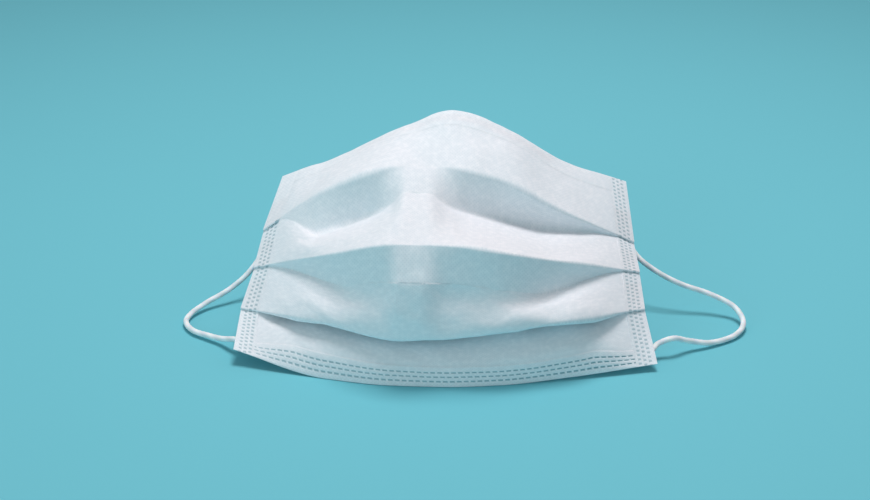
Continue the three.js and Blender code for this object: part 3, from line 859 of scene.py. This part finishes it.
@dataclass
class EarLoop:
    """A knitted elastic cord whose two ends lie behind corners of the mask, clear of its cloth."""

    name: str
    side: int
    route: Tuple[Tuple[float, float, float], ...]
    thickness: float = 2.3
    around: int = 14
    spacing: float = 0.5
    join_inset: float = 6.2
    leave_inset: float = 1.3
    join_walk: float = 5.5
    leave_walk: float = 8.0
    lift: float = 2.9
    pad_length: float = 5.0
    pad_widening: float = 0.45
    pad_thinning: float = 0.55
    knit_height: float = 0.035
    knit_ribs: int = 7
    knit_pitch: float = 2.2

    def ends(self, corner: FoldLine, towards: FoldLine, share: float, walk: float) -> np.ndarray:
        """Return a place inside a corner, behind the seal.

        Args:
            corner: the edge line that the corner is on.
            towards: the next fold line.
            share: how far out across the mask.
            walk: how far along the seal from the corner.

        Returns:
            The place in millimetres, from the hem's middle.
        """
        u = np.array([self.side * share])
        start = FORM.place(corner, u)[0]
        angle = heading(start[None, 1:], FORM.place(towards, u)[:, 1:])[0]
        inside = outward(np.array(angle if corner is TOP_EDGE else angle + math.pi))
        slant = min(FORM.squeeze(line, u, np.array([angle]))[0] for line in (corner, towards))
        step = along(np.array(angle)) * walk - inside * self.lift / slant
        return start + np.array([0, step[0], step[1]])

    def path(self) -> np.ndarray:
        """Return the cord's middle line in millimetres, evenly spaced."""
        joined = 1 - self.join_inset / (FORM.width / 2)
        leaving = 1 - self.leave_inset / (FORM.width / 2)
        points = [self.ends(TOP_EDGE, FIRST_FOLD, joined, self.join_walk)]
        points.append(self.ends(TOP_EDGE, FIRST_FOLD, leaving, self.leave_walk))
        points += [np.array([x * FORM.width / 2, y * FORM.reach, z * FORM.tall]) for x, y, z in self.route]
        points.append(self.ends(BOTTOM_EDGE, THIRD_FOLD, leaving, self.leave_walk))
        points.append(self.ends(BOTTOM_EDGE, THIRD_FOLD, joined, self.join_walk))
        return even_curve(np.array(points), self.spacing)

    def frames(self, middle: np.ndarray) -> Tuple[np.ndarray, np.ndarray]:
        """Return the ways aside and up from each place of the cord, carried along it without a twist."""
        run = np.gradient(middle, axis=0)
        run /= np.linalg.norm(run, axis=1, keepdims=True)
        side = np.zeros_like(middle)
        side[0] = np.cross(run[0], [0.0, 0.0, 1.0])
        for i in range(1, len(middle)):
            side[i] = side[i - 1] - run[i] * np.dot(side[i - 1], run[i])
            side[i] /= np.linalg.norm(side[i])
        side[0] /= np.linalg.norm(side[0])
        return side, np.cross(side, run)

    def skin(self, middle: np.ndarray, walked: np.ndarray) -> np.ndarray:
        """Return the points of the cord's rings, and last the two that close its ends.

        Args:
            middle: the cord's middle line.
            walked: the distance along it.

        Returns:
            The points in millimetres, from the hem's middle.
        """
        side, lift = self.frames(middle)
        end = np.minimum(walked, walked[-1] - walked)
        pressed = 1 - ease(end / self.pad_length)
        turns = np.linspace(0, 2 * math.pi, self.around, endpoint=False)
        radius = self.thickness / 2
        wide = radius * (1 + self.pad_widening * pressed)[:, None] * np.cos(turns)[None]
        high = radius * (1 - self.pad_thinning * pressed)[:, None] * np.sin(turns)[None]
        twist = turns[None] * self.knit_ribs + walked[:, None] * 2 * math.pi / self.knit_pitch
        knit = 1 + self.knit_height * np.cos(twist)
        aside = side[:, None] * (wide * knit)[..., None]
        points = middle[:, None] + aside + lift[:, None] * (high * knit)[..., None]
        return np.concatenate([points.reshape(-1, 3), middle[:1], middle[-1:]])

    def faces(self, rings: int) -> List[Tuple[int, ...]]:
        """Return the faces that join the rings and close the two ends."""
        faces: List[Tuple[int, ...]] = []
        final = (rings - 1) * self.around
        for near in range(0, final, self.around):
            far = near + self.around
            for j in range(self.around):
                k = (j + 1) % self.around
                faces.append((near + j, near + k, far + k, far + j))
        first = rings * self.around
        for j in range(self.around):
            k = (j + 1) % self.around
            faces.append((first, k, j))
            faces.append((first + 1, final + j, final + k))
        return faces

    def unroll(self, mesh: bpy.types.Mesh, walked: np.ndarray) -> None:
        """Give the mesh flat coordinates, along the cord and round it."""
        rings, around = len(walked), self.around
        girth = math.pi * self.thickness * MM
        layer = mesh.uv_layers.new(name=FLAT_CLOTH)
        for polygon in mesh.polygons:
            corners = [mesh.loops[i].vertex_index for i in polygon.loop_indices]
            at_seam = any(vertex % around == around - 1 for vertex in corners)
            for i, vertex in zip(polygon.loop_indices, corners):
                ring = min(vertex // around, rings - 1)
                step = vertex % around if vertex < rings * around else 0
                step = around if at_seam and step == 0 else step
                layer.data[i].uv = (walked[ring] * MM, step / around * girth)

    def build(self, look: bpy.types.Material) -> bpy.types.Object:
        """Make the cord with its flattened, welded ends.

        Args:
            look: the cord's material.

        Returns:
            The finished cord.
        """
        middle = self.path()
        walked = walked_along(middle)
        mesh = bpy.data.meshes.new(self.name)
        points = FORM.to_scene(self.skin(middle, walked))
        mesh.from_pydata([tuple(point) for point in points], [], self.faces(len(middle)))
        self.unroll(mesh, walked)
        mesh.update()
        piece = bpy.data.objects.new(self.name, mesh)
        bpy.context.scene.collection.objects.link(piece)
        activate(piece)
        bpy.ops.object.mode_set(mode="EDIT")
        bpy.ops.mesh.select_all(action="SELECT")
        bpy.ops.mesh.normals_make_consistent(inside=False)
        bpy.ops.object.mode_set(mode="OBJECT")
        bpy.ops.object.shade_smooth()
        mesh.materials.append(look)
        node = self.name.replace("elastic_", "") + "_ear_loop"
        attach(piece, "root")
        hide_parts(node)
        return piece


def walked_along(points: np.ndarray) -> np.ndarray:
    """Return the distance along a line of points, from 0 at the first."""
    return np.concatenate([[0], np.cumsum(np.linalg.norm(np.diff(points, axis=0), axis=1))])


def even_curve(points: np.ndarray, spacing: float) -> np.ndarray:
    """Run a smooth curve through points and read it at an even spacing.

    Args:
        points: the places that the curve passes.
        spacing: the distance between the places that it is read at.

    Returns:
        The places read, the first and the last point among them.
    """
    chord = np.linalg.norm(np.diff(points, axis=0), axis=1)
    knots = np.concatenate([[0], np.cumsum(np.sqrt(chord))])
    lean = np.gradient(points, knots, axis=0)
    fine = np.linspace(0, knots[-1], CURVE_STEPS)
    i = np.clip(np.searchsorted(knots, fine) - 1, 0, len(knots) - 2)
    span = (knots[i + 1] - knots[i])[:, None]
    t = ((fine - knots[i])[:, None]) / span
    curve = (1 + 2 * t) * (1 - t) ** 2 * points[i] + t * (1 - t) ** 2 * span * lean[i]
    curve = curve + t * t * (3 - 2 * t) * points[i + 1] + t * t * (t - 1) * span * lean[i + 1]
    walked = walked_along(curve)
    stops = np.linspace(0, walked[-1], int(walked[-1] / spacing) + 1)
    return np.stack([np.interp(stops, walked, curve[:, k]) for k in range(3)], -1)


@dataclass(frozen=True)
class DashRows:
    """Rows of short welded dashes along an edge, in millimetres.

    stagger is the shift from one row to the next as a share of the pitch, and the blurs are the widths
    of the dashes' soft rims.
    """

    pitch: float = 2.8
    dash: float = 1.95
    height: float = 0.95
    depth: float = 0.22
    rows: Tuple[float, ...] = (2.9, 5.5, 8.1)
    stagger: float = 0.35
    run_blur: float = 0.28
    up_blur: float = 0.22

    def marks(self, run: np.ndarray, up: np.ndarray) -> np.ndarray:
        """Return how deep in a dash each place is, from 0 to 1.

        Args:
            run: the distance along the hem.
            up: the distance from the hem's free edge.

        Returns:
            The share of the full depth.
        """
        marks = np.zeros_like(run)
        for number, row in enumerate(self.rows):
            shift = self.stagger * number * self.pitch
            near = np.abs((run + shift) % self.pitch - self.pitch / 2)
            inside_run = ease((self.dash / 2 - near) / self.run_blur + 0.5)
            inside_up = ease((self.height / 2 - np.abs(up - row)) / self.up_blur + 0.5)
            marks = np.maximum(marks, inside_run * inside_up)
        return marks


@dataclass
class Cloth:
    """The pieces of the mask that are cut from the one drape.

    Each grid is a number of columns and the distance between rows in millimetres. A ridge is its height,
    and the widths over which it rises at the hem's free edge and falls at its other edge.
    """

    look: bpy.types.Material
    dashes: DashRows = DashRows()
    dots: DashRows = DashRows(pitch=1.95, dash=0.9, height=1.35, depth=0.16, rows=(2.6, 4.8, 7.0))
    body_grid: Tuple[int, float] = (181, 1.05)
    bottom_grid: Tuple[int, float] = (560, 0.27)
    top_grid: Tuple[int, float] = (260, 0.5)
    seal_grid: Tuple[int, float] = (34, 0.3)
    bottom_ridge: Tuple[float, float, float] = (0.18, 0.5, 0.45)
    top_ridge: Tuple[float, float, float] = (0.1, 1.0, 0.5)
    dash_start: float = 300.0
    # These strengths set how much weld colour, painted shade included, the dashes and the dots take.
    dash_weld_and_shade: float = 0.8
    dash_lean: float = 0.2
    dot_start: float = 100.0
    dot_weld_and_shade: float = 0.6
    least_crumple: float = 0.12
    seal_calm: float = 16.0
    foot_calm: float = 14.0

    def finish(self, name: str, node: str, drape: Drape, rows: Tuple[int, int], weld: np.ndarray,
               dent: np.ndarray) -> bpy.types.Object:
        """Make a piece of the drape and say what it is.

        Args:
            name: the piece's name.
            node: the CAD node that it replaces.
            drape: the grid of the cloth.
            rows: the first row, and the one after the last.
            weld: how welded each place is, which also sets how much painted shade its colour takes.
            dent: how deep each place is pressed in, in millimetres.

        Returns:
            The piece.
        """
        cut = slice(*rows)
        across, down = drape.across[:, cut], drape.down[:, cut]
        lift = CRUMPLE.lift(across, down) * self.calm(drape, cut) - dent
        points = FORM.to_scene(drape.points[:, cut] + drape.normals[:, cut] * lift[..., None])
        flat = np.stack([across, down], -1) * MM
        piece = cloth_piece(name, points, flat, weld, FORM.cloth * MM)
        piece.data.materials.append(self.look)
        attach(piece, "root")
        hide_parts(node)
        LOG.info("%s: %d faces", name, len(piece.data.polygons))
        return piece

    def calm(self, drape: Drape, cut: slice) -> np.ndarray:
        """Return how free the cloth is to crumple, less near the seals and none at the foot."""
        across, down = drape.across[:, cut], drape.down[:, cut]
        rim = FORM.width / 2 * FORM.shut
        free = self.least_crumple + (1 - self.least_crumple) * ease((rim - np.abs(across)) / self.seal_calm)
        to_foot = drape.down[:, -1:] - down
        return free * ease(to_foot / self.foot_calm)

    def lay(self, grid: Tuple[int, float]) -> Tuple[np.ndarray, Drape]:
        """Lay the drape between the seals, and return its columns too."""
        u = np.linspace(-FORM.shut, FORM.shut, grid[0])
        return u, FORM.drape(u, grid[1])

    def ridge(self, inward: np.ndarray, hem: float, form: Tuple[float, float, float]) -> np.ndarray:
        """Return how far a hem stands out, by the distance in from its free edge."""
        height, rising, falling = form
        return height * ease(inward / rising) * ease((hem - inward) / falling)

    def body(self) -> bpy.types.Object:
        """Make the pleated panel between the hems and the seals."""
        u, drape = self.lay(self.body_grid)
        rows = drape.rows["body"]
        blank = np.zeros((len(u), rows[1] - rows[0]))
        return self.finish("pleated_panel", "pleated_body", drape, rows, blank, blank)

    def bottom_hem(self) -> bpy.types.Object:
        """Make the lower hem with its three rows of welded dashes."""
        u, drape = self.lay(self.bottom_grid)
        rows = drape.rows["bottom_hem"]
        cut = slice(*rows)
        up = drape.down[:, -1:] - drape.down[:, cut]
        marks = self.dashes.marks(drape.across[:, cut] + self.dash_start, up)
        # The dashes' weld colour, painted shade included, grows darker towards the right.
        marks = marks * (self.dash_weld_and_shade + self.dash_lean * u[:, None])
        dent = marks * self.dashes.depth - self.ridge(up, FORM.bottom_hem, self.bottom_ridge)
        return self.finish("lower_hem", "bottom_hem", drape, rows, marks, dent)

    def top_hem(self) -> bpy.types.Object:
        """Make the upper hem, which is one layer of cloth in front of the wire."""
        _, drape = self.lay(self.top_grid)
        rows = drape.rows["top_hem"]
        down = drape.down[:, slice(*rows)]
        ridge = self.ridge(down, FORM.top_hem, self.top_ridge)
        blank = np.zeros_like(down)
        return self.finish("upper_hem", "top_hem", drape, rows, blank, -ridge)

    def seal(self, side: int) -> bpy.types.Object:
        """Make one welded side with its three columns of dots.

        Args:
            side: -1 for the left side and 1 for the right one.

        Returns:
            The seal.
        """
        columns, spacing = self.seal_grid
        u = np.sort(side * np.linspace(FORM.shut, 1.0, columns))
        drape = FORM.drape(u, spacing, stacked=True)
        rows = (0, drape.points.shape[1])
        edge = FORM.width / 2 - np.abs(drape.across)
        marks = self.dots.marks(drape.down + self.dot_start, edge)
        if side < 0:
            marks = marks * (drape.down > drape.down[:, [drape.rows["ridge_1"]]])
        word = "left" if side < 0 else "right"
        return self.finish(word + "_side_weld", word + "_side_seal", drape, rows,
                           marks * self.dot_weld_and_shade, marks * self.dots.depth)


@dataclass
class NoseWire:
    """The flat strip that holds the nose line, bare behind the upper hem.

    reach is how far it goes to each side as a share of half the width, rows are the drape's rows that it
    follows, and sunk is how far it lies behind the cloth's middle in millimetres.
    """

    reach: float = 0.55
    columns: int = 120
    spacing: float = 0.5
    rows: Tuple[int, int] = (4, 11)
    sunk: float = 0.55
    thickness: float = 0.4

    def build(self, look: bpy.types.Material) -> bpy.types.Object:
        """Make the strip.

        Args:
            look: the wire's material.

        Returns:
            The strip.
        """
        drape = FORM.drape(np.linspace(-self.reach, self.reach, self.columns), self.spacing)
        cut = slice(*self.rows)
        across, down = drape.across[:, cut], drape.down[:, cut]
        lift = CRUMPLE.lift(across, down) - self.sunk
        points = FORM.to_scene(drape.points[:, cut] + drape.normals[:, cut] * lift[..., None])
        flat = np.stack([across, down], -1) * MM
        piece = cloth_piece("nose_strip", points, flat, np.zeros(flat.shape[:2]), self.thickness * MM)
        piece.data.materials.append(look)
        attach(piece, "root")
        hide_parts("nose_wire")
        LOG.info("nose_strip: %d faces", len(piece.data.polygons))
        return piece


LEFT_ROUTE = (
    (-0.83, 0.92, 0.38), (-0.86, 0.84, 0.24), (-0.93, 0.77, 0.14), (-1.02, 0.71, 0.075),
    (-1.12, 0.64, 0.038), (-1.18, 0.56, 0.022), (-1.19, 0.49, 0.019), (-1.14, 0.41, 0.019),
    (-1.06, 0.36, 0.024), (-0.99, 0.32, 0.032),
)
RIGHT_ROUTE = (
    (0.89, 0.93, 0.42), (0.92, 0.84, 0.33), (0.97, 0.77, 0.26), (1.06, 0.73, 0.20), (1.18, 0.70, 0.147),
    (1.32, 0.68, 0.105), (1.43, 0.63, 0.065), (1.46, 0.54, 0.033), (1.41, 0.45, 0.019), (1.28, 0.37, 0.022),
    (1.17, 0.33, 0.055), (1.09, 0.29, 0.09), (1.02, 0.27, 0.07),
)


@dataclass(frozen=True)
class Lamp:
    """One square soft light: its place, aim and side in metres, its power in watts and its tint."""

    name: str
    place: Tuple[float, float, float]
    aim: Tuple[float, float, float]
    size: float
    power: float
    tint: Tuple[float, float, float]

    def build(self) -> None:
        """Hang the light and point it."""
        data = bpy.data.lights.new(self.name, "AREA")
        data.shape = "SQUARE"
        data.size = self.size
        data.energy = self.power
        data.color = self.tint
        lamp = bpy.data.objects.new(self.name, data)
        bpy.context.scene.collection.objects.link(lamp)
        lamp.location = self.place
        lamp.rotation_euler = (Vector(self.aim) - Vector(self.place)).to_track_quat("-Z", "Y").to_euler()


@dataclass
class Studio:
    """A plain table under soft light, with its sizes in metres."""

    table_size: float = 8.0
    table_drop: float = 0.0002
    sky: Colour = (0.95, 0.96, 1.0, 1.0)
    sky_strength: float = 0.34
    lamps: Tuple[Lamp, ...] = (
        Lamp("overhead", (0.05, 0.15, 0.95), (0, 0.02, 0), 0.34, 6.7, (1.0, 0.955, 0.965)),
        Lamp("low_fill", (-0.65, -1.0, 0.24), (0, 0, 0.03), 0.8, 4.6, (0.62, 0.97, 1.02)),
    )

    def build(self) -> None:
        """Make the table, the lights and the surrounding light."""
        deselect()
        bpy.ops.mesh.primitive_plane_add(size=self.table_size, location=(0, 0, -self.table_drop))
        table = bpy.context.active_object
        table.name = "pale_table_top"
        activate(table)
        bpy.ops.object.transform_apply(location=True, rotation=False, scale=False)
        table.data.materials.append(FloorFinish().build())
        for lamp in self.lamps:
            lamp.build()
        world = bpy.data.worlds.new("soft_room")
        bpy.context.scene.world = world
        world.use_nodes = True
        background = world.node_tree.nodes["Background"]
        background.inputs["Color"].default_value = self.sky
        background.inputs["Strength"].default_value = self.sky_strength
        bpy.context.scene.view_settings.view_transform = "Standard"


def main() -> None:
    """Build the scene piece by piece."""
    logging.basicConfig(level=logging.INFO, format="%(name)s: %(message)s")
    Camera().build()
    elastic = CordFinish().build()
    EarLoop("elastic_left", -1, LEFT_ROUTE).build(elastic)
    EarLoop("elastic_right", 1, RIGHT_ROUTE).build(elastic)
    cloth = Cloth(ClothFinish().build(SpunFibres().build()))
    panel = cloth.body()
    lower = cloth.bottom_hem()
    upper = cloth.top_hem()
    sides = [cloth.seal(-1), cloth.seal(1)]
    strip = NoseWire().build(WireFinish().build())
    Studio().build()


if __name__ == "__main__":
    main()
